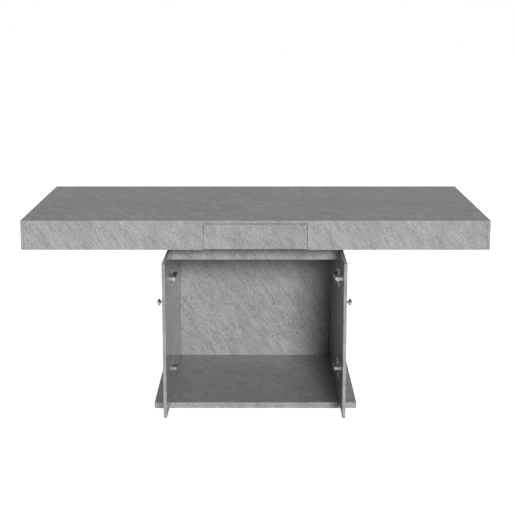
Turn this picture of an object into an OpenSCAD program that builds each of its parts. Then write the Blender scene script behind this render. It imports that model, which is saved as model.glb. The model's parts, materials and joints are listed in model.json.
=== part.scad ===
// Extendable dining table: two sliding top halves, a loose centre leaf with folding skirts,
// and a pedestal cabinet with two doors on concealed hinges.
// Millimetres, +Z up, origin on the floor under the middle of the base plate, front towards -Y.
// Drawn as it stands in use: halves apart, leaf in place, both doors open at about a right angle.

/* [Table top] */
// Length of each sliding half
half_length = 700; // [640:10:760]
// Width of the opening that the centre leaf fills
leaf_opening = 400; // [360:10:400]
// Depth of the top from front to back
top_depth = 900; // [860:10:960]
// Height of the top surface above the floor
table_height = 762; // [756:1:770]
// Thickness of the laminated boards
board_t = 12; // [11:1:13]
// Height of the skirt boards of the halves
skirt_height = 102; // [95:1:108]
// Gap between the leaf's board and the boards beside it
leaf_gap = 0.4; // [0.3:0.1:1.5]
// Gap between the ends of the leaf's folding skirts and the skirts beside them
skirt_gap = 1.4; // [0.8:0.1:2]
// Open joint between the leaf board and its folding skirts
skirt_joint = 2; // [1.5:0.1:3]
// How much shorter the leaf's skirts are than those of the halves
skirt_relief = 3; // [2:0.5:6]
// Shadow joint at the corners of the skirts
corner_joint = 0.8; // [0.2:0.1:1]

/* [Pedestal] */
// Width of the base plate
base_width = 800; // [760:10:860]
// Depth of the base plate
base_depth = 840; // [780:10:860]
// Thickness of the base plate
base_t = 24; // [22:1:26]
// Thickness of the glides under the base plate
glide_t = 2; // [1.5:0.5:4]
// Outer width of the cabinet
cabinet_width = 688; // [660:2:700]
// Outer depth of the cabinet
cabinet_depth = 550; // [520:2:556]
// Top of the cabinet's top panel above the floor
cabinet_top = 650; // [648:1:652]
// Height of the rail above the cabinet opening
rail_height = 64; // [50:1:70]

/* [Doors] */
// Gap between a shut door and the cabinet's front edges
door_gap = 3; // [3:0.1:4]
// Gap between a door and the base plate
door_clearance = 3; // [2:0.5:5]
// Top edge of the doors above the floor
door_top = 629; // [610:1:632]
// Gap between the two shut doors
meeting_gap = 2; // [1.6:0.1:4]
// Height of the lower hinges above the floor
lower_hinge_z = 132; // [110:1:180]
// Height of the upper hinges above the floor
upper_hinge_z = 502; // [440:1:530]
// Height of the knobs above the floor
knob_z = 475; // [400:1:540]
// Distance of the knobs from the free edge of the doors
knob_inset = 35; // [25:1:60]
// Diameter of the knobs
knob_d = 27; // [22:1:32]
// How far past a right angle the left door stands open, in degrees
left_door_turn = 0.8; // [-3:0.1:3]
// How far past a right angle the right door stands open, in degrees
right_door_turn = -0.3; // [-3:0.1:3]

/* [Extension frame] */
// Height of the cross bearers
bearer_h = 44; // [40:1:46]
// Length of the cross bearers
bearer_length = 600; // [580:10:640]
// Distance of the outer bearers from the middle
bearer_x = 300; // [260:10:320]
// Distance of the inner guide channels from the middle
inner_channel_y = 218; // [216:1:220]
// Distance of the outer guide channels from the middle
outer_channel_y = 270; // [268:1:274]
// Width of the runners
runner_w = 24; // [22:1:24]
// How far each runner reaches past the middle of the table
runner_overlap = 70; // [60:5:90]
// Travel left outward when the leaf is in place
spare_travel = 50; // [30:5:60]

/* [Hidden] */
$fn = 48;

concrete = [0.62, 0.62, 0.63];
beech = [0.76, 0.62, 0.44];
zinc = [0.72, 0.73, 0.75];
nickel = [0.80, 0.80, 0.82];
black_plastic = [0.12, 0.12, 0.13];
cut = 1; // how far a cutting tool runs past the face it enters

// Top
half_top_x = half_length + leaf_opening / 2;
board_z = table_height - board_t;
skirt_z = board_z - skirt_height;
leaf_w = leaf_opening - 2 * leaf_gap;
leaf_skirt_w = leaf_opening - 2 * skirt_gap;
leaf_skirt_top = board_z - skirt_joint;
leaf_skirt_z = skirt_z + skirt_relief;

// Pedestal
base_z = glide_t;
floor_z = base_z + base_t;
side_x = cabinet_width / 2;
inner_x = side_x - board_t;
front_y = -cabinet_depth / 2;
back_y = cabinet_depth / 2;
panel_top = cabinet_top - board_t;
glide_r = 20;
glide_inset = 60;
base_screw_y = [-200, 0, 200];
back_screw_x = [-220, 0, 220];
panel_mid_x = side_x - board_t / 2;
panel_mid_y = back_y - board_t / 2;
screw_fit = 0.1; // radial room round a screw in its hole
confirmat_r = 2.5;
confirmat_head_r = 4.5;
confirmat_head_h = 3;
confirmat_depth = 40; // reach into a panel's edge
top_screw_r = 2;
top_screw_head_r = 4;
top_screw_head_h = 2.5;
top_screw_depth = 45;

// Doors, drawn for the left one and mirrored for the right one
door_width = side_x - meeting_gap / 2;
door_z = floor_z + door_clearance;
pivot_x = -side_x + board_t / 2;
pivot_y = front_y - door_gap - board_t / 2;
hinge_z = [lower_hinge_z, upper_hinge_z];
face = board_t / 2; // pivot axis to the inner face of the door and of the side panel
cup_y = face - 22; // the cup's centre, from the pivot axis
cup_r = 17.5;
cup_depth = 9.8;
cup_wall = 0.8;
flange_t = 1;
flange_half = 31;
cup_screw_z = 24;
link_r = [12.5, 21.5]; // inner and outer radius of the curved link about the pivot axis
link_half = 4;
cup_cheek = [4.5, 6]; // near and far side of a cheek of the bridge, from the hinge's middle
bridge_t = 1.2;
bridge_y = -link_r[1] - 1; // inner side of the bridge's cross plate, clear of the link
bridge_x = face + 13.5;
bridge_root_x = face - cup_depth + cup_wall - 0.2; // sunk into the bottom of the cup
arm_cheek = [6.5, 8];
arm_end_y = 75;
arm_top_x = face + 16;
web_t = 1.5;
web_y = 25;
plate_t = 3;
plate_screw_y = 46;
plate_screw_z = 16;
plate_wing = 28;
arm_screw_y = [37, 58];

// Knob, turned about its own axis
knob_stem_r = 4;
knob_reach = 21;
knob_bore_depth = 9;
knob_screw_r = 2;

// Extension frame
bearer_w = 30;
channel_z = cabinet_top + bearer_h;
channel_t = 2;
channel_h = 25;
channel_w = runner_w + 6;
lip = 4;
runner_z = channel_z + channel_t + 0.6;
groove_depth = 5;
groove_z = channel_z + channel_h - channel_t / 2; // level with the middle of the channel's lips
groove_h = 4;
runner_end_x = -half_top_x + 20;
runner_relief = 1;
stop_x = 20; // the stop pins' distance from the middle, on their own half's side
stop_r = 4;
stop_h = 6;
batten_w = 16;
batten_y = (inner_channel_y + outer_channel_y) / 2;
batten_half = 340;
peg_x = 150;
peg_r = 4;
peg_h = 20;
runner_screw_x = [-820, -640, -460, -280];
runner_screw_r = 2;
runner_screw_head_r = 4;
runner_counterbore_h = 30;

// Folding skirts of the leaf, on butt hinges
skirt_pin_y = top_depth / 2 - board_t - 3; // distance of the pin from the middle
skirt_pin_z = leaf_skirt_top - 2;
skirt_hinge_x = [-130, 130];
knuckle_r = 2.5;
knuckle_length = 50;
knuckle_play = 0.2;
hinge_leaf_t = 1.2;
hinge_leaf_w = 20;
hinge_pin_r = 1;
pin_fit = 0.05;
hinge_screw_length = 9;
hinge_screw_x = [-18, 18];
hinge_top = board_z - skirt_pin_z; // the leaf board's underside, from the pin's axis
hinge_near = skirt_pin_y - top_depth / 2 + board_t; // the skirt's inner face, from the pin's axis

// ---------------------------------------------------------------- helpers

// A block given by its lowest and highest corners
module block(low, high) {
    translate(low) cube([for (i = [0:2]) high[i] - low[i]]);
}

// Places a child at each hinge height on the left door's pivot axis
module at_left_hinges() {
    for (z = hinge_z) translate([pivot_x, pivot_y, z]) children();
}

module mirrored() {
    mirror([1, 0, 0]) children();
}

// A screw along -Z with its head's top at the origin
module screw_down(head_r, head_h, shank_r, depth) {
    translate([0, 0, -head_h]) cylinder(r = head_r, h = head_h);
    translate([0, 0, -depth]) cylinder(r = shank_r, h = depth);
}

// The same screw along +Z with its head's face at the origin
module screw_up(head_r, head_h, shank_r, depth) {
    mirror([0, 0, 1]) screw_down(head_r, head_h, shank_r, depth);
}

// A flat ring sector from angle a to angle b, below half a turn
module ring_sector(radii, a, b) {
    reach = radii[1] * 3;
    intersection() {
        difference() {
            circle(r = radii[1]);
            circle(r = radii[0]);
        }
        polygon([[0, 0], reach * [cos(a), sin(a)], reach * [cos((a + b) / 2), sin((a + b) / 2)],
            reach * [cos(b), sin(b)]]);
    }
}

// ---------------------------------------------------------------- pedestal

module at_base_screws() {
    for (x = [-panel_mid_x, panel_mid_x], y = base_screw_y) translate([x, y, base_z]) children();
    for (x = back_screw_x) translate([x, panel_mid_y, base_z]) children();
}

module at_top_screws() {
    for (x = [-panel_mid_x, panel_mid_x], y = base_screw_y) translate([x, y, cabinet_top]) children();
    for (x = back_screw_x, y = [-panel_mid_y, panel_mid_y]) translate([x, y, cabinet_top]) children();
}

module base_screw(room = 0) {
    screw_up(confirmat_head_r + room, confirmat_head_h, confirmat_r + room,
        base_t + confirmat_depth + room);
}

module top_screw(room = 0) {
    screw_down(top_screw_head_r + room, top_screw_head_h, top_screw_r + room, top_screw_depth + room);
}

module base_plate() {
    color(concrete) difference() {
        block([-base_width / 2, -base_depth / 2, base_z], [base_width / 2, base_depth / 2, floor_z]);
        at_base_screws() translate([0, 0, -cut]) cylinder(r = confirmat_head_r + screw_fit,
            h = confirmat_head_h + cut);
        at_base_screws() cylinder(r = confirmat_r + screw_fit, h = base_t + cut);
    }
}

module floor_glides() {
    x = base_width / 2 - glide_inset;
    y = base_depth / 2 - glide_inset;
    color(black_plastic) for (p = [[0, 0], [x, y], [-x, y], [x, -y], [-x, -y]])
        translate([p[0], p[1], 0]) {
            cylinder(r1 = glide_r - 1, r2 = glide_r, h = 1);
            translate([0, 0, 1]) cylinder(r = glide_r, h = glide_t - 1);
        }
}

module left_side_panel() {
    color(concrete) difference() {
        block([-side_x, front_y, floor_z], [-inner_x, back_y, panel_top]);
        at_base_screws() base_screw(screw_fit);
        at_top_screws() top_screw(screw_fit);
        at_left_hinges() for (z = [-plate_screw_z, plate_screw_z])
            translate([face + cut, plate_screw_y, z]) rotate([0, -90, 0])
                cylinder(r = 1.75 + screw_fit, h = 9 + cut);
    }
}

module right_side_panel() mirrored() left_side_panel();

module back_panel() {
    color(concrete) difference() {
        block([-inner_x, back_y - board_t, floor_z], [inner_x, back_y, panel_top]);
        at_base_screws() base_screw(screw_fit);
        at_top_screws() top_screw(screw_fit);
    }
}

module front_top_rail() {
    color(concrete) difference() {
        block([-inner_x, front_y, panel_top - rail_height], [inner_x, front_y + board_t, panel_top]);
        at_top_screws() top_screw(screw_fit);
    }
}

module cabinet_top_panel() {
    color(concrete) difference() {
        block([-side_x, front_y, panel_top], [side_x, back_y, cabinet_top]);
        at_top_screws() cylinder(r = top_screw_head_r + screw_fit, h = cut);
        at_top_screws() top_screw(screw_fit);
        at_bearer_screws() bearer_screw(screw_fit);
    }
}

module carcass_screws() {
    color(zinc) {
        at_base_screws() base_screw();
        at_top_screws() top_screw();
    }
}

module door_bumpers() {
    color(black_plastic) for (x = [-30, 30]) translate([x, front_y, door_top - 10])
        rotate([90, 0, 0]) cylinder(r1 = 5, r2 = 4, h = door_gap - 0.5);
}

// ---------------------------------------------------------------- extension frame

bearer_screw_y = [-150, 0, 150];
bearer_counterbore_h = 24;

module at_bearer_screws() {
    for (x = [-bearer_x, 0, bearer_x], y = bearer_screw_y) translate([x, y, channel_z])
        children();
}

// Head at the bottom of a deep counterbore, point inside the cabinet's top panel
module bearer_screw(room = 0) {
    translate([0, 0, -bearer_counterbore_h]) screw_down(4.5 + room, 3, 2.2 + room, 30 + room);
}

module at_channel_screws() {
    for (x = [-bearer_x, 0, bearer_x],
         y = [-outer_channel_y, -inner_channel_y, inner_channel_y, outer_channel_y])
        translate([x, y, channel_z + channel_t]) children();
}

module channel_screw(room = 0) {
    screw_down(4 + room, 1.2, 1.8 + room, 20 + room);
}

module cross_bearer(x) {
    color(beech) difference() {
        block([x - bearer_w / 2, -bearer_length / 2, cabinet_top],
            [x + bearer_w / 2, bearer_length / 2, channel_z]);
        at_bearer_screws() bearer_screw(screw_fit);
        at_bearer_screws() translate([0, 0, -bearer_counterbore_h - 0.01])
            cylinder(r = 5, h = bearer_counterbore_h + cut);
        at_channel_screws() channel_screw(screw_fit);
    }
}

module left_cross_bearer() cross_bearer(-bearer_x);
module centre_cross_bearer() cross_bearer(0);
module right_cross_bearer() cross_bearer(bearer_x);

// Steel channel whose lips reach into the grooves of a runner, open at both ends
module guide_channel(y) {
    w = channel_w / 2;
    color(zinc) difference() {
        translate([-side_x, y, channel_z]) rotate([90, 0, 90])
            linear_extrude(height = cabinet_width) polygon([[-w, 0], [w, 0], [w, channel_h],
                [w - channel_t - lip, channel_h], [w - channel_t - lip, channel_h - channel_t],
                [w - channel_t, channel_h - channel_t], [w - channel_t, channel_t],
                [-w + channel_t, channel_t], [-w + channel_t, channel_h - channel_t],
                [-w + channel_t + lip, channel_h - channel_t], [-w + channel_t + lip, channel_h],
                [-w, channel_h]]);
        at_channel_screws() channel_screw(screw_fit);
        at_channel_screws() cylinder(r = 4 + screw_fit, h = cut);
    }
}

module front_outer_channel() guide_channel(-outer_channel_y);
module front_inner_channel() guide_channel(-inner_channel_y);
module rear_inner_channel() guide_channel(inner_channel_y);
module rear_outer_channel() guide_channel(outer_channel_y);

module at_pegs() {
    for (x = [-peg_x, peg_x], y = [-batten_y, batten_y]) translate([x, y, board_z - peg_h])
        children();
}

// Carries the leaf; its ends are planed down so that the halves run clear of them
module leaf_batten(y) {
    color(beech) difference() {
        block([-batten_half, y - batten_w / 2, channel_z], [batten_half, y + batten_w / 2, board_z]);
        for (s = [-1, 1]) translate([s * (batten_half + leaf_w / 2) / 2, y, board_z])
            cube([batten_half - leaf_w / 2 + 2 * cut, batten_w + 2 * cut, 4], center = true);
        at_pegs() translate([0, 0, -cut]) cylinder(r = peg_r + 0.3, h = peg_h + 2 * cut);
    }
}

module front_leaf_batten() leaf_batten(-batten_y);
module rear_leaf_batten() leaf_batten(batten_y);

// One pin in the floor of each channel, in the groove under its runner
module travel_stop_pins() {
    color(zinc) for (p = [[-stop_x, -outer_channel_y], [-stop_x, inner_channel_y],
                          [stop_x, -inner_channel_y], [stop_x, outer_channel_y]])
        translate([p[0], p[1], channel_z + channel_t]) cylinder(r = stop_r, h = stop_h);
}

module frame_screws() {
    color(zinc) {
        at_bearer_screws() bearer_screw();
        at_channel_screws() channel_screw();
    }
}

// ---------------------------------------------------------------- sliding halves
// Drawn for the left half. The right one is the same part turned half round.

module turned() {
    rotate([0, 0, 180]) children();
}

module at_runner_screws(y) {
    for (x = runner_screw_x) translate([x, y, runner_z + runner_counterbore_h]) children();
}

module runner_screw(room = 0) {
    screw_up(runner_screw_head_r + room, 2.5, runner_screw_r + room,
        board_z + 9 - runner_z - runner_counterbore_h + room);
}

module half_board() {
    color(concrete) difference() {
        block([-half_top_x, -top_depth / 2, board_z], [-leaf_opening / 2, top_depth / 2, table_height]);
        at_runner_screws(-outer_channel_y) runner_screw(screw_fit);
        at_runner_screws(inner_channel_y) runner_screw(screw_fit);
    }
}

// Front or rear skirt of a half, between its end skirt and the leaf
module half_skirt(side) {
    y = side * (top_depth / 2 - board_t / 2);
    color(concrete) block([-half_top_x + board_t + corner_joint, y - board_t / 2, skirt_z],
        [-leaf_opening / 2, y + board_t / 2, board_z]);
}

module half_end_skirt() {
    color(concrete) block([-half_top_x, -top_depth / 2, skirt_z],
        [-half_top_x + board_t, top_depth / 2, board_z]);
}

// Triangular blocks in the two corners, and small blocks along the skirts
module half_glue_blocks() {
    x = -half_top_x + board_t;
    y = top_depth / 2 - board_t;
    leg = 60;
    block_w = 20;
    color(beech) {
        for (s = [-1, 1]) translate([x, s * y, board_z - leg]) scale([1, -s, 1])
            linear_extrude(height = leg) polygon([[0, 0], [leg, 0], [0, leg]]);
        for (s = [-1, 1], bx = [-680, -500, -320])
            block([bx, min(s * y, s * (y - block_w)), board_z - block_w],
                [bx + 50, max(s * y, s * (y - block_w)), board_z]);
        for (by = [-150, 100]) block([x, by, board_z - block_w], [x + block_w, by + 50, board_z]);
    }
}

// Hardwood runner with a guide groove in each side and a stop groove underneath
module runner(y) {
    end_x = runner_overlap;
    w = runner_w / 2;
    color(beech) difference() {
        block([runner_end_x, y - w, runner_z], [end_x, y + w, board_z]);
        block([-leaf_opening / 2, y - w - cut, board_z - runner_relief], [end_x + cut, y + w + cut,
            board_z + cut]);
        for (s = [-1, 1])
            block([runner_end_x - cut, y + s * w - groove_depth, groove_z - groove_h / 2],
                [end_x + cut, y + s * w + groove_depth, groove_z + groove_h / 2]);
        block([-stop_x - leaf_opening / 2 - stop_r - 1, y - stop_r - 1, runner_z - cut],
            [-stop_x + spare_travel + stop_r + 1, y + stop_r + 1, runner_z + stop_h + 1]);
        at_runner_screws(y) runner_screw(screw_fit);
        at_runner_screws(y) translate([0, 0, -runner_counterbore_h - cut])
            cylinder(r = 5, h = runner_counterbore_h + cut + 0.01);
    }
}

module half_runner_screws() {
    color(zinc) {
        at_runner_screws(-outer_channel_y) runner_screw();
        at_runner_screws(inner_channel_y) runner_screw();
    }
}

module left_top_board() half_board();
module left_front_apron() half_skirt(-1);
module left_rear_apron() half_skirt(1);
module left_end_apron() half_end_skirt();
module left_glue_blocks() half_glue_blocks();
module left_front_runner() runner(-outer_channel_y);
module left_rear_runner() runner(inner_channel_y);
module left_runner_screws() half_runner_screws();

module right_top_board() turned() half_board();
module right_front_apron() turned() half_skirt(1);
module right_rear_apron() turned() half_skirt(-1);
module right_end_apron() turned() half_end_skirt();
module right_glue_blocks() turned() half_glue_blocks();
module right_front_runner() turned() runner(inner_channel_y);
module right_rear_runner() turned() runner(-outer_channel_y);
module right_runner_screws() turned() half_runner_screws();

// ---------------------------------------------------------------- centre leaf

module leaf_board() {
    color(concrete) difference() {
        block([-leaf_w / 2, -top_depth / 2, board_z], [leaf_w / 2, top_depth / 2, table_height]);
        at_pegs() translate([0, 0, peg_h - cut]) cylinder(r = peg_r + 0.05, h = 8 + cut);
        at_both_skirts_hinges() at_fixed_leaf_screws() hinge_screw(screw_fit);
    }
}

module leaf_pegs() {
    color(beech) at_pegs() cylinder(r = peg_r, h = peg_h + 8);
}

// Puts a butt hinge, drawn for the front skirt, at its two places along that skirt
module at_front_skirt_hinges() {
    for (x = skirt_hinge_x) translate([x, -skirt_pin_y, skirt_pin_z]) children();
}

module at_both_skirts_hinges() {
    for (s = [1, -1]) scale([1, s, 1]) at_front_skirt_hinges() children();
}

module pin_bore(a, b) {
    translate([a, 0, 0]) rotate([0, 90, 0]) cylinder(r = hinge_pin_r + pin_fit, h = b - a);
}

// Countersunk screw along -Z with its head flush at the origin, or the hole that it sits in
module hinge_screw(room = 0) {
    translate([0, 0, -hinge_leaf_t]) cylinder(r1 = 1.3 + room, r2 = 2.5 + room, h = hinge_leaf_t);
    translate([0, 0, -hinge_screw_length - room]) cylinder(r = 1.3 + room,
        h = hinge_screw_length + room - hinge_leaf_t / 2);
}

// Screws of the fixed leaf point up into the leaf board
module at_fixed_leaf_screws() {
    for (x = hinge_screw_x) translate([x, hinge_leaf_w * 0.6, hinge_top - hinge_leaf_t])
        mirror([0, 0, 1]) children();
}

// Screws of the moving leaf point outward into the skirt
module at_moving_leaf_screws() {
    for (x = hinge_screw_x) translate([x, hinge_near + hinge_leaf_t, -hinge_leaf_w * 0.65])
        rotate([-90, 0, 0]) children();
}

// Fixed leaf under the leaf board with the two outer knuckles
module butt_hinge_fixed() {
    half = knuckle_length / 2;
    near = knuckle_length / 6 + knuckle_play;
    difference() {
        union() {
            block([-half, 0, hinge_top - hinge_leaf_t], [half, hinge_leaf_w, hinge_top]);
            for (x = [-half, near]) {
                translate([x, 0, 0]) rotate([0, 90, 0]) cylinder(r = knuckle_r, h = half - near);
                block([x, hinge_pin_r + 0.4, 0], [x + half - near, knuckle_r - 0.2, hinge_top - 1]);
            }
        }
        pin_bore(-half - cut, half + cut);
        at_fixed_leaf_screws() hinge_screw(screw_fit);
    }
}

// Moving leaf on the skirt's inner face with the middle knuckle
module butt_hinge_moving() {
    half = knuckle_length / 2;
    near = knuckle_length / 6 - knuckle_play;
    difference() {
        union() {
            block([-half, hinge_near, -hinge_leaf_w], [half, hinge_near + hinge_leaf_t, -3]);
            block([-near, hinge_near, -3.5], [near, hinge_near + hinge_leaf_t, 0]);
            translate([-near, 0, 0]) rotate([0, 90, 0]) cylinder(r = knuckle_r, h = 2 * near);
        }
        pin_bore(-half - cut, half + cut);
        at_moving_leaf_screws() hinge_screw(screw_fit);
    }
}

module leaf_hinge_plates() color(zinc) at_both_skirts_hinges() butt_hinge_fixed();

// Each pin has a head at both ends, outside the knuckles
module leaf_hinge_pins() {
    half = knuckle_length / 2;
    color(zinc) at_both_skirts_hinges() {
        translate([-half, 0, 0]) rotate([0, 90, 0]) cylinder(r = hinge_pin_r, h = knuckle_length);
        for (x = [-half - 1, half]) translate([x, 0, 0]) rotate([0, 90, 0])
            cylinder(r = hinge_pin_r + 0.8, h = 1);
    }
}

module leaf_hinge_screws() {
    color(zinc) at_both_skirts_hinges() at_fixed_leaf_screws() hinge_screw();
}

module leaf_skirt() {
    color(concrete) difference() {
        block([-leaf_skirt_w / 2, -top_depth / 2, leaf_skirt_z],
            [leaf_skirt_w / 2, -top_depth / 2 + board_t, leaf_skirt_top]);
        at_front_skirt_hinges() at_moving_leaf_screws() hinge_screw(screw_fit);
    }
}

module flap_screws() color(zinc) at_front_skirt_hinges() at_moving_leaf_screws() hinge_screw();
module hinge_flaps() color(zinc) at_front_skirt_hinges() butt_hinge_moving();

module leaf_front_apron() leaf_skirt();
module leaf_front_hinge_flaps() hinge_flaps();
module leaf_front_flap_screws() flap_screws();
module leaf_rear_apron() mirror([0, 1, 0]) leaf_skirt();
module leaf_rear_hinge_flaps() mirror([0, 1, 0]) hinge_flaps();
module leaf_rear_flap_screws() mirror([0, 1, 0]) flap_screws();

// ---------------------------------------------------------------- doors and concealed hinges
// Hinge parts are drawn about the pivot axis: +X into the cabinet, +Y towards its back,
// the side panel's inner face and the open door's inner face both at x = face.

// Turns a left part about the pivot axis, the way the door opens
module opened(angle) {
    translate([pivot_x, pivot_y, 0]) rotate([0, 0, -angle]) translate([-pivot_x, -pivot_y, 0]) children();
}

module at_left_knob() {
    translate([-side_x, front_y - door_gap - door_width + knob_inset, knob_z]) children();
}

module at_cup_screws() {
    at_left_hinges() for (z = [-cup_screw_z, cup_screw_z]) translate([face, cup_y, z])
        rotate([0, 90, 0]) children();
}

module door_board() {
    color(concrete) difference() {
        block([-side_x, front_y - door_gap - door_width, door_z],
            [-inner_x, front_y - door_gap, door_top]);
        at_left_hinges() translate([face - cup_depth - 0.1, cup_y, 0]) rotate([0, 90, 0])
            cylinder(r = cup_r + 0.1, h = cup_depth + cut);
        at_cup_screws() translate([0, 0, -9]) cylinder(r = 1.75 + screw_fit, h = 9 + cut);
        at_left_knob() translate([-cut, 0, 0]) rotate([0, 90, 0])
            cylinder(r = knob_screw_r + 0.3, h = board_t + 2 * cut);
    }
}

// Turned knob: rose, waisted stem and a flat-fronted mushroom head, with a blind bore for its screw
module door_knob() {
    head_r = knob_d / 2;
    color(nickel) at_left_knob() rotate([0, -90, 0]) difference() {
        rotate_extrude() polygon(concat([[0, 0], [7, 0], [7, 1.5], [knob_stem_r + 1, 2.2],
            [knob_stem_r, 4], [knob_stem_r, 6], [head_r * 0.55, 8.2], [head_r * 0.86, 9.8]],
            [for (a = [-60:15:60]) [head_r - 3 + 3 * cos(a), 12.8 + 3 * sin(a)]],
            [[head_r * 0.82, 17], [head_r * 0.6, 19], [head_r * 0.32, 20.5], [0, knob_reach]]));
        translate([0, 0, -cut]) cylinder(r = knob_screw_r + 0.1, h = knob_bore_depth + cut);
    }
}

// Pressed cup with a two-winged flange and a bent bridge that stands in it over the link
module hinge_cups() {
    color(zinc) at_left_hinges() {
        difference() {
            union() {
                translate([face - cup_depth, cup_y, 0]) rotate([0, 90, 0])
                    cylinder(r = cup_r, h = cup_depth);
                translate([face, cup_y, 0]) rotate([0, 90, 0]) cylinder(r = cup_r + 1.5, h = flange_t);
                block([face, cup_y - 6, -flange_half], [face + flange_t, cup_y + 6, flange_half]);
            }
            translate([face - cup_depth + cup_wall, cup_y, 0]) rotate([0, 90, 0])
                cylinder(r = cup_r - 1.1, h = cup_depth + cut);
            for (z = [-cup_screw_z, cup_screw_z]) translate([face - cut, cup_y, z])
                rotate([0, 90, 0]) cylinder(r = 1.75 + screw_fit, h = flange_t + 2 * cut);
        }
        for (s = [-1, 1]) translate([0, 0, s > 0 ? cup_cheek[0] : -cup_cheek[1]])
            linear_extrude(height = cup_cheek[1] - cup_cheek[0]) cup_cheek_outline();
        block([bridge_root_x, bridge_y - bridge_t, -cup_cheek[1]], [bridge_x, bridge_y, cup_cheek[1]]);
    }
}

// Side of the bridge, from the bottom of the cup to past the link
module cup_cheek_outline() {
    polygon([[bridge_root_x, bridge_y - bridge_t], [bridge_x, bridge_y - bridge_t], [bridge_x, -8],
        [face + 4, -8], [face + 1.3, -9], [bridge_root_x, -9]]);
}

// The knob's screw from inside and the countersunk screws of the cups
module door_screws() {
    color(zinc) {
        at_left_knob() translate([board_t + 2.5, 0, 0]) rotate([0, 90, 0])
            screw_down(4, 2.5, knob_screw_r, board_t + 2.5 + knob_bore_depth - 1);
        at_cup_screws() {
            translate([0, 0, flange_t]) cylinder(r1 = 3.5, r2 = 2.6, h = 1.4);
            translate([0, 0, -8.5]) cylinder(r = 1.75, h = 8.5 + flange_t);
        }
    }
}

// Bent steel link, a ring sector about the pivot axis; it turns half as far as the door
module hinge_links() {
    color(nickel) at_left_hinges() translate([0, 0, -link_half])
        linear_extrude(height = 2 * link_half) ring_sector(link_r, -50, 12);
}

// Arm: two cheeks, the web that joins them, and rivet heads at the nose
module left_arms() {
    at_left_hinges() {
        for (s = [-1, 1]) translate([0, 0, s > 0 ? arm_cheek[0] : -arm_cheek[1]])
            linear_extrude(height = arm_cheek[1] - arm_cheek[0]) arm_cheek_outline();
        difference() {
            block([arm_top_x - web_t, web_y, -arm_cheek[1]], [arm_top_x, arm_end_y, arm_cheek[1]]);
            for (y = arm_screw_y) translate([arm_top_x - web_t - cut, y, 0]) rotate([0, 90, 0])
                cylinder(r = 2.3, h = web_t + 2 * cut);
        }
        for (s = [-1, 1]) translate([16.5, 4.5, s * (arm_cheek[1] + 0.4)])
            cylinder(r = 2.2, h = 1, center = true);
    }
}

module arm_cheek_outline() {
    nose = [link_r[0], arm_top_x];
    union() {
        intersection() {
            ring_sector(nose, -3, 80);
            translate([face + 1, -5]) square([30, 40]);
        }
        polygon([[face + 1, 18], [16, 12], [arm_top_x, web_y - 6], [arm_top_x, arm_end_y],
            [face + plate_t + 1, arm_end_y], [face + plate_t + 1, web_y], [face + 1, web_y - 2]]);
    }
}

// Winged mounting plate with the rib that the arm clamps on
module left_plates() {
    at_left_hinges() difference() {
        union() {
            block([face, web_y + 3, -6], [arm_top_x - web_t - 2, arm_end_y - 7, 6]);
            block([face, plate_screw_y - 8, -plate_wing],
                [face + plate_t - 1, plate_screw_y + 8, plate_wing]);
            for (s = [-1, 1]) translate([face, plate_screw_y, s * plate_screw_z]) rotate([0, 90, 0])
                cylinder(r = 6, h = plate_t);
        }
        for (z = [-plate_screw_z, plate_screw_z]) translate([face - cut, plate_screw_y, z])
            rotate([0, 90, 0]) cylinder(r = 1.75 + screw_fit, h = plate_t + 2 * cut);
        for (y = arm_screw_y) translate([arm_top_x - 12, y, 0]) rotate([0, 90, 0])
            cylinder(r = 2 + screw_fit, h = 12);
    }
}

// Wood screws through the plates and machine screws that clamp the arms on them, left side
module left_plate_screws() {
    at_left_hinges() {
        for (z = [-plate_screw_z, plate_screw_z]) translate([face + plate_t, plate_screw_y, z])
            rotate([0, 90, 0]) {
                cylinder(r1 = 3.5, r2 = 2.8, h = 1.6);
                translate([0, 0, -8.5 - plate_t]) cylinder(r = 1.75, h = 8.5 + plate_t);
            }
        for (y = arm_screw_y) translate([arm_top_x, y, 0]) rotate([0, 90, 0]) {
            cylinder(r = 3.5, h = 1.5);
            translate([0, 0, -11]) cylinder(r = 2, h = 11);
        }
    }
}

module on_both_sides() {
    children();
    mirrored() children();
}

module hinge_arms() color(nickel) on_both_sides() left_arms();
module hinge_mounting_plates() color(zinc) on_both_sides() left_plates();
module hinge_plate_screws() color(zinc) on_both_sides() left_plate_screws();

module left_door() opened(left_door_turn) door_board();
module left_knob() opened(left_door_turn) door_knob();
module left_hinge_cups() opened(left_door_turn) hinge_cups();
module left_door_screws() opened(left_door_turn) door_screws();
module left_hinge_links() opened(left_door_turn / 2) hinge_links();
module right_door() mirrored() opened(right_door_turn) door_board();
module right_knob() mirrored() opened(right_door_turn) door_knob();
module right_hinge_cups() mirrored() opened(right_door_turn) hinge_cups();
module right_door_screws() mirrored() opened(right_door_turn) door_screws();
module right_hinge_links() mirrored() opened(right_door_turn / 2) hinge_links();

// ---------------------------------------------------------------- the nodes

base_plate();
floor_glides();
left_side_panel();
right_side_panel();
back_panel();
front_top_rail();
cabinet_top_panel();
carcass_screws();
door_bumpers();
left_cross_bearer();
centre_cross_bearer();
right_cross_bearer();
front_outer_channel();
front_inner_channel();
rear_inner_channel();
rear_outer_channel();
front_leaf_batten();
rear_leaf_batten();
travel_stop_pins();
frame_screws();
hinge_mounting_plates();
hinge_arms();
hinge_plate_screws();
left_top_board();
left_front_apron();
left_rear_apron();
left_end_apron();
left_glue_blocks();
left_front_runner();
left_rear_runner();
left_runner_screws();
right_top_board();
right_front_apron();
right_rear_apron();
right_end_apron();
right_glue_blocks();
right_front_runner();
right_rear_runner();
right_runner_screws();
leaf_board();
leaf_pegs();
leaf_hinge_plates();
leaf_hinge_pins();
leaf_hinge_screws();
leaf_front_apron();
leaf_front_hinge_flaps();
leaf_front_flap_screws();
leaf_rear_apron();
leaf_rear_hinge_flaps();
leaf_rear_flap_screws();
left_door();
left_knob();
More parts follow.
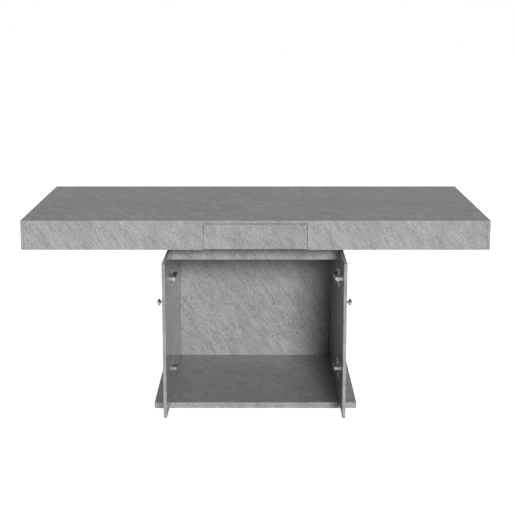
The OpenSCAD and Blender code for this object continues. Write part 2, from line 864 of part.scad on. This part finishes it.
left_hinge_cups();
left_door_screws();
left_hinge_links();
right_door();
right_knob();
right_hinge_cups();
right_door_screws();
right_hinge_links();
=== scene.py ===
"""Looks of an extendable dining table with a pedestal cabinet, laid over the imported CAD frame."""
import json
import math

import bpy
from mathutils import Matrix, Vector

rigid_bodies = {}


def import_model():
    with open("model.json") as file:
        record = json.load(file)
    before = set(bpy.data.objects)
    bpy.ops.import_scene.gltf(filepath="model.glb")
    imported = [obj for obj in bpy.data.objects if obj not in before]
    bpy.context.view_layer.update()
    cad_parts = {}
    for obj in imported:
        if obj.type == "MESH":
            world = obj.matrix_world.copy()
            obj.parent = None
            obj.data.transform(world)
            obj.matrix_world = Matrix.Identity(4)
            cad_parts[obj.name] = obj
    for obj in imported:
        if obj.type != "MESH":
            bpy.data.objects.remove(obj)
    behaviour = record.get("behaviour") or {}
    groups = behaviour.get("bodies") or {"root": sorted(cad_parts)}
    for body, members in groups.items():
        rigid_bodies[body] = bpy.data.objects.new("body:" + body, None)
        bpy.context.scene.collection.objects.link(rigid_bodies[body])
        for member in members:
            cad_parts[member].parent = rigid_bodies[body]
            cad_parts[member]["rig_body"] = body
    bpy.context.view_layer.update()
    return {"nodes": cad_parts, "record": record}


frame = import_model()
nodes = frame["nodes"]

# ------------------------------------------------------------------ shader helpers


class Graph:
    """Short calls for building one material's or world's node tree."""

    def __init__(self, tree):
        self.tree = tree
        tree.nodes.clear()

    def add(self, kind, **settings):
        made = self.tree.nodes.new(kind)
        for key, value in settings.items():
            setattr(made, key, value)
        return made

    def plug(self, socket, value):
        """Links value if it is a socket, and sets it otherwise."""
        if isinstance(value, bpy.types.NodeSocket):
            self.tree.links.new(value, socket)
        else:
            socket.default_value = value

    def math(self, operation, a, b=None, clamp=False):
        made = self.add("ShaderNodeMath", operation=operation, use_clamp=clamp)
        self.plug(made.inputs[0], a)
        if b is not None:
            self.plug(made.inputs[1], b)
        return made.outputs[0]

    def mix(self, factor, a, b):
        made = self.add("ShaderNodeMix", data_type="FLOAT")
        self.plug(made.inputs["Factor"], factor)
        self.plug(made.inputs["A"], a)
        self.plug(made.inputs["B"], b)
        return made.outputs["Result"]

    def span(self, value, low, high, to_low=0.0, to_high=1.0):
        """Maps low..high to to_low..to_high, smoothly and held at the ends."""
        made = self.add("ShaderNodeMapRange", interpolation_type="SMOOTHSTEP")
        for key, item in (("Value", value), ("From Min", low), ("From Max", high),
                          ("To Min", to_low), ("To Max", to_high)):
            self.plug(made.inputs[key], item)
        return made.outputs["Result"]

    def vector(self, x, y, z):
        made = self.add("ShaderNodeCombineXYZ")
        for socket, value in zip(made.inputs, (x, y, z)):
            self.plug(socket, value)
        return made.outputs[0]

    def place(self, vector, scale=(1, 1, 1), turn=0.0, shift=(0, 0, 0)):
        made = self.add("ShaderNodeMapping")
        self.plug(made.inputs["Vector"], vector)
        made.inputs["Scale"].default_value = scale
        made.inputs["Rotation"].default_value = (0, 0, turn)
        made.inputs["Location"].default_value = shift
        return made.outputs[0]

    def noise(self, vector, scale=1.0, detail=3.0, rough=0.5, warp=0.0):
        made = self.add("ShaderNodeTexNoise")
        self.plug(made.inputs["Vector"], vector)
        for key, value in (("Scale", scale), ("Detail", detail), ("Roughness", rough),
                           ("Distortion", warp)):
            made.inputs[key].default_value = value
        return made.outputs["Fac"]

    def split(self, vector):
        made = self.add("ShaderNodeSeparateXYZ")
        self.plug(made.inputs[0], vector)
        return made.outputs


def new_material(name):
    material = bpy.data.materials.new(name)
    material.use_nodes = True
    graph = Graph(material.node_tree)
    shader = graph.add("ShaderNodeBsdfPrincipled")
    output = graph.add("ShaderNodeOutputMaterial")
    graph.plug(output.inputs["Surface"], shader.outputs[0])
    return material, graph, shader


def face_plane(graph):
    """Coordinates across each face, in metres: along it, up or towards the back, and its depth."""
    coordinates = graph.add("ShaderNodeTexCoord")
    x, y, z = graph.split(coordinates.outputs["Object"])
    nx, _, nz = graph.split(coordinates.outputs["Normal"])
    faces_x = graph.math("GREATER_THAN", graph.math("ABSOLUTE", nx), 0.7)
    faces_z = graph.math("GREATER_THAN", graph.math("ABSOLUTE", nz), 0.7)
    along = graph.mix(faces_x, x, y)
    across = graph.mix(faces_z, z, y)
    depth = graph.mix(faces_x, graph.mix(faces_z, y, z), x)
    return graph.vector(along, across, depth)


def tint(graph, shader, colour, value):
    """Base colour: one colour, made lighter or darker by value around 1."""
    made = graph.add("ShaderNodeVectorMath", operation="SCALE")
    made.inputs[0].default_value = colour
    graph.plug(made.inputs["Scale"], value)
    graph.plug(shader.inputs["Base Color"], made.outputs[0])


def emboss(graph, shader, height, distance, strength=1.0):
    made = graph.add("ShaderNodeBump")
    made.inputs["Strength"].default_value = strength
    made.inputs["Distance"].default_value = distance
    graph.plug(made.inputs["Height"], height)
    graph.plug(shader.inputs["Normal"], made.outputs[0])


def layer(graph, value, amount):
    """A noise turned into a factor of 1 plus or minus about amount."""
    return graph.math("ADD", graph.math("MULTIPLY", graph.math("SUBTRACT", value, 0.5), 2 * amount), 1.0)


# ------------------------------------------------------------------ materials

STREAK_TURN = math.radians(57)  # the streaks fall to the right at this angle
CONCRETE = (0.340, 0.343, 0.352)


def concrete(name, shift):
    """Concrete-look laminate: cloudy grey with slanting streaks, gathered dark pits and a thin gloss."""
    material, graph, shader = new_material(name)
    plane = graph.place(face_plane(graph), shift=shift)
    along = graph.place(plane, turn=STREAK_TURN)
    clouds = graph.noise(graph.place(along, (2.6, 6, 3)), detail=2, rough=0.5)
    mottles = graph.noise(graph.place(along, (13, 30, 14), shift=(2, 5, 3)), detail=3, rough=0.6, warp=0.3)
    streaks = graph.noise(graph.place(along, (15, 85, 20)), detail=3, rough=0.6, warp=0.2)
    grain = graph.noise(graph.place(along, (120, 165, 140)), detail=3, rough=0.75)
    gathers = graph.noise(graph.place(along, (12, 26, 12), shift=(3, 7, 1)), detail=2)
    pits = graph.noise(graph.place(along, (85, 150, 100), shift=(5, 2, 8)), detail=2, rough=0.5)
    value = layer(graph, clouds, 0.16)
    for part, amount in ((mottles, 0.30), (streaks, 0.26), (grain, 0.62)):
        value = graph.math("MULTIPLY", value, layer(graph, part, amount))
    pits = graph.math("MULTIPLY", graph.span(pits, 0.52, 0.64), graph.span(gathers, 0.46, 0.60))
    value = graph.math("MULTIPLY", value, graph.span(pits, 0.0, 1.0, 1.0, 0.74))
    tint(graph, shader, CONCRETE, value)
    graph.plug(shader.inputs["Roughness"], graph.span(grain, 0.3, 0.7, 0.45, 0.55))
    shader.inputs["Specular IOR Level"].default_value = 0.2
    shader.inputs["Coat Weight"].default_value = 1.0
    shader.inputs["Coat IOR"].default_value = 1.2
    shader.inputs["Coat Roughness"].default_value = 0.12
    emboss(graph, shader, graph.math("SUBTRACT", grain, pits), 0.00002)
    return material


def beech():
    material, graph, shader = new_material("beech")
    plane = face_plane(graph)
    rings = graph.noise(graph.place(plane, (3, 60, 60)), detail=4, rough=0.6, warp=0.5)
    flecks = graph.noise(graph.place(plane, (90, 900, 900)), detail=2)
    value = graph.math("MULTIPLY", layer(graph, rings, 0.35), layer(graph, flecks, 0.25))
    tint(graph, shader, (0.50, 0.33, 0.19), value)
    graph.plug(shader.inputs["Roughness"], graph.span(flecks, 0.3, 0.7, 0.50, 0.68))
    emboss(graph, shader, flecks, 0.0001)
    return material


def metal(name, colour, rough, brushed):
    """Metal with a faint draw along one way, and cloudy roughness."""
    material, graph, shader = new_material(name)
    coordinates = graph.add("ShaderNodeTexCoord").outputs["Object"]
    drawn = graph.noise(graph.place(coordinates, (brushed, brushed, brushed / 12)), detail=3)
    cloudy = graph.noise(coordinates, scale=90, detail=3)
    tint(graph, shader, colour, graph.math("MULTIPLY", layer(graph, drawn, 0.06), layer(graph, cloudy, 0.08)))
    shader.inputs["Metallic"].default_value = 1.0
    graph.plug(shader.inputs["Roughness"], graph.span(cloudy, 0.3, 0.7, rough * 0.8, rough * 1.2))
    emboss(graph, shader, drawn, 0.00001)
    return material


def plastic():
    material, graph, shader = new_material("black_plastic")
    coordinates = graph.add("ShaderNodeTexCoord").outputs["Object"]
    grain = graph.noise(coordinates, scale=1400, detail=2)
    tint(graph, shader, (0.022, 0.022, 0.024), layer(graph, grain, 0.3))
    graph.plug(shader.inputs["Roughness"], graph.span(grain, 0.3, 0.7, 0.5, 0.65))
    emboss(graph, shader, grain, 0.00005)
    return material


# Each body shows its own part of the pattern.
concretes = {
    "left_half": concrete("concrete_left_half", (0.0, 0.0, 0.0)),
    "leaf": concrete("concrete_leaf", (3.1, 1.7, 0.4)),
    "right_half": concrete("concrete_right_half", (-1.1, 0.0, 0.0)),
    "pedestal": concrete("concrete_cabinet", (5.3, 2.9, 1.1)),
    "left_door": concrete("concrete_left_door", (7.7, 4.1, 0.2)),
    "right_door": concrete("concrete_right_door", (9.4, 6.2, 0.7)),
}
concretes["leaf_front_skirt"] = concretes["leaf_rear_skirt"] = concretes["leaf"]
finishes = {
    "beech": beech(),
    "zinc_steel": metal("zinc_steel", (0.70, 0.71, 0.73), 0.24, 700),
    "nickel_steel": metal("nickel_steel", (0.66, 0.65, 0.64), 0.18, 900),
    "chrome": metal("chrome", (0.78, 0.78, 0.79), 0.07, 1200),
    "black_plastic": plastic(),
}
slots = {row["node"]: row["material_slot"] for row in frame["record"]["subparts"]}


# ------------------------------------------------------------------ CAD nodes

ARRIS = 0.0006  # the rounding of a laminated board's edges
TOP_ARRIS = 0.00025  # the same on the boards of the top, whose seams hardly show
SAME_POINT = 0.00002  # corners closer than this are one corner
SHARP = math.radians(40)  # edges that bend more than this are rounded


def round_edges(thing, width):
    weld = thing.modifiers.new("weld", "WELD")
    weld.merge_threshold = SAME_POINT
    bevel = thing.modifiers.new("arris", "BEVEL")
    bevel.width = width
    bevel.segments = 2
    bevel.limit_method = "ANGLE"
    bevel.angle_limit = SHARP
    bevel.harden_normals = True


for name, thing in nodes.items():
    slot = slots[name]
    finish = concretes[thing["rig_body"]] if slot == "concrete_board" else finishes[slot]
    thing.data.materials.clear()
    thing.data.materials.append(finish)
    if slot in ("concrete_board", "beech"):
        round_edges(thing, TOP_ARRIS if "board" in name else ARRIS)


# ------------------------------------------------------------------ stage, light and camera

AMBIENT = 0.06  # the world's light on matt surfaces
FRONT_GLOW, SIDE_GLOW, REAR_GLOW = 0.35, 0.08, 0.27  # what glossy surfaces mirror of the world
FLOOR_COLOUR = 0.5
FLOOR_GLOW = 0.97  # burns the floor out to white for the camera
MIRRORED_FLOOR, MIRRORED_FLOOR_BEHIND = 1.0, 0.1  # mirrored share of it in front, and further back
MIRRORED_FLOOR_END = (-0.85, -0.60)  # metres from the table's middle, between which that share fades
LIGHTS = (  # name, azimuth, elevation, spread, strength
    ("key", 7.0, 15.5, 14.0, 2.93),
    ("right_fill", 55, 15, 30, 0.25),
    ("left_rear", -130, 7, 40, 1.7),
    ("right_rear", 130, 7, 40, 1.7),
    ("rear_high", 180, 48, 16, 0.32),
)
# The camera's place and lens come from a fit of the photo's perspective.
CAMERA_PLACE = (0.008, -5.1949, 1.5934)
CAMERA_TILT = math.radians(11.613)  # below level
SENSOR_WIDTH, LENS = 36, 88.09  # mm


def lit_world():
    """White to the camera, and a weak even light to matt surfaces.

    Glossy ones mirror a glow instead, brightest in front, dim at the sides, and fair at the back.
    """
    world = bpy.data.worlds.new("studio")
    bpy.context.scene.world = world
    world.use_nodes = True
    graph = Graph(world.node_tree)
    path = graph.add("ShaderNodeLightPath")
    # A direction's depth is -1 straight in front of the table and 1 straight behind it.
    _, depth, _ = graph.split(graph.add("ShaderNodeTexCoord").outputs["Generated"])
    mirrored = graph.span(depth, -0.92, -0.55, FRONT_GLOW, SIDE_GLOW)
    mirrored = graph.mix(graph.span(depth, 0.0, 0.85), mirrored, REAR_GLOW)
    strength = graph.mix(path.outputs["Is Glossy Ray"], AMBIENT, mirrored)
    strength = graph.mix(path.outputs["Is Camera Ray"], strength, 1.0)
    background = graph.add("ShaderNodeBackground")
    background.inputs["Color"].default_value = (1, 1, 1, 1)
    graph.plug(background.inputs["Strength"], strength)
    graph.plug(graph.add("ShaderNodeOutputWorld").inputs["Surface"], background.outputs[0])


def floor():
    """Burnt out to white for the camera. Glossy surfaces mirror that glow, mostly in front of the table."""
    bpy.ops.mesh.primitive_plane_add(size=60)
    plane = bpy.context.object
    plane.name = "floor"
    material, graph, shader = new_material("pale_floor")
    shader.inputs["Base Color"].default_value = (FLOOR_COLOUR, FLOOR_COLOUR, FLOOR_COLOUR, 1)
    shader.inputs["Roughness"].default_value = 0.9
    glow = graph.add("ShaderNodeEmission")
    glow.inputs["Strength"].default_value = FLOOR_GLOW
    path = graph.add("ShaderNodeLightPath")
    both, chosen = graph.add("ShaderNodeAddShader"), graph.add("ShaderNodeMixShader")
    graph.plug(both.inputs[0], shader.outputs[0])
    graph.plug(both.inputs[1], glow.outputs[0])
    _, depth, _ = graph.split(graph.add("ShaderNodeTexCoord").outputs["Object"])
    mirrored = graph.span(depth, *MIRRORED_FLOOR_END, MIRRORED_FLOOR, MIRRORED_FLOOR_BEHIND)
    mirrored = graph.math("MULTIPLY", path.outputs["Is Glossy Ray"], mirrored)
    graph.plug(chosen.inputs[0], graph.math("MAXIMUM", path.outputs["Is Camera Ray"], mirrored))
    graph.plug(chosen.inputs[1], shader.outputs[0])
    graph.plug(chosen.inputs[2], both.outputs[0])
    output = next(n for n in graph.tree.nodes if n.type == "OUTPUT_MATERIAL")
    graph.plug(output.inputs["Surface"], chosen.outputs[0])
    plane.data.materials.append(material)


def soft_light(name, azimuth, elevation, spread, strength):
    """A broad distant softbox. Azimuth is to the right of the front; spread is its width in degrees.

    Metal and gloss don't mirror it: they mirror the glow of the world and of the floor.
    """
    data = bpy.data.lights.new(name, "SUN")
    data.angle, data.energy = math.radians(spread), strength
    light = bpy.data.objects.new(name, data)
    a, e = math.radians(azimuth), math.radians(elevation)
    away = Vector((math.sin(a) * math.cos(e), -math.cos(a) * math.cos(e), math.sin(e)))
    light.rotation_euler = (-away).to_track_quat("-Z", "Y").to_euler()
    light.visible_glossy = False
    bpy.context.scene.collection.objects.link(light)


def photo_camera():
    data = bpy.data.cameras.new("camera")
    data.sensor_width, data.lens = SENSOR_WIDTH, LENS
    camera = bpy.data.objects.new("camera", data)
    camera.location = CAMERA_PLACE
    camera.rotation_euler = (math.radians(90) - CAMERA_TILT, 0, 0)
    bpy.context.scene.collection.objects.link(camera)
    bpy.context.scene.camera = camera


lit_world()
floor()
for row in LIGHTS:
    soft_light(*row)
photo_camera()
bpy.context.scene.view_settings.view_transform = "Standard"
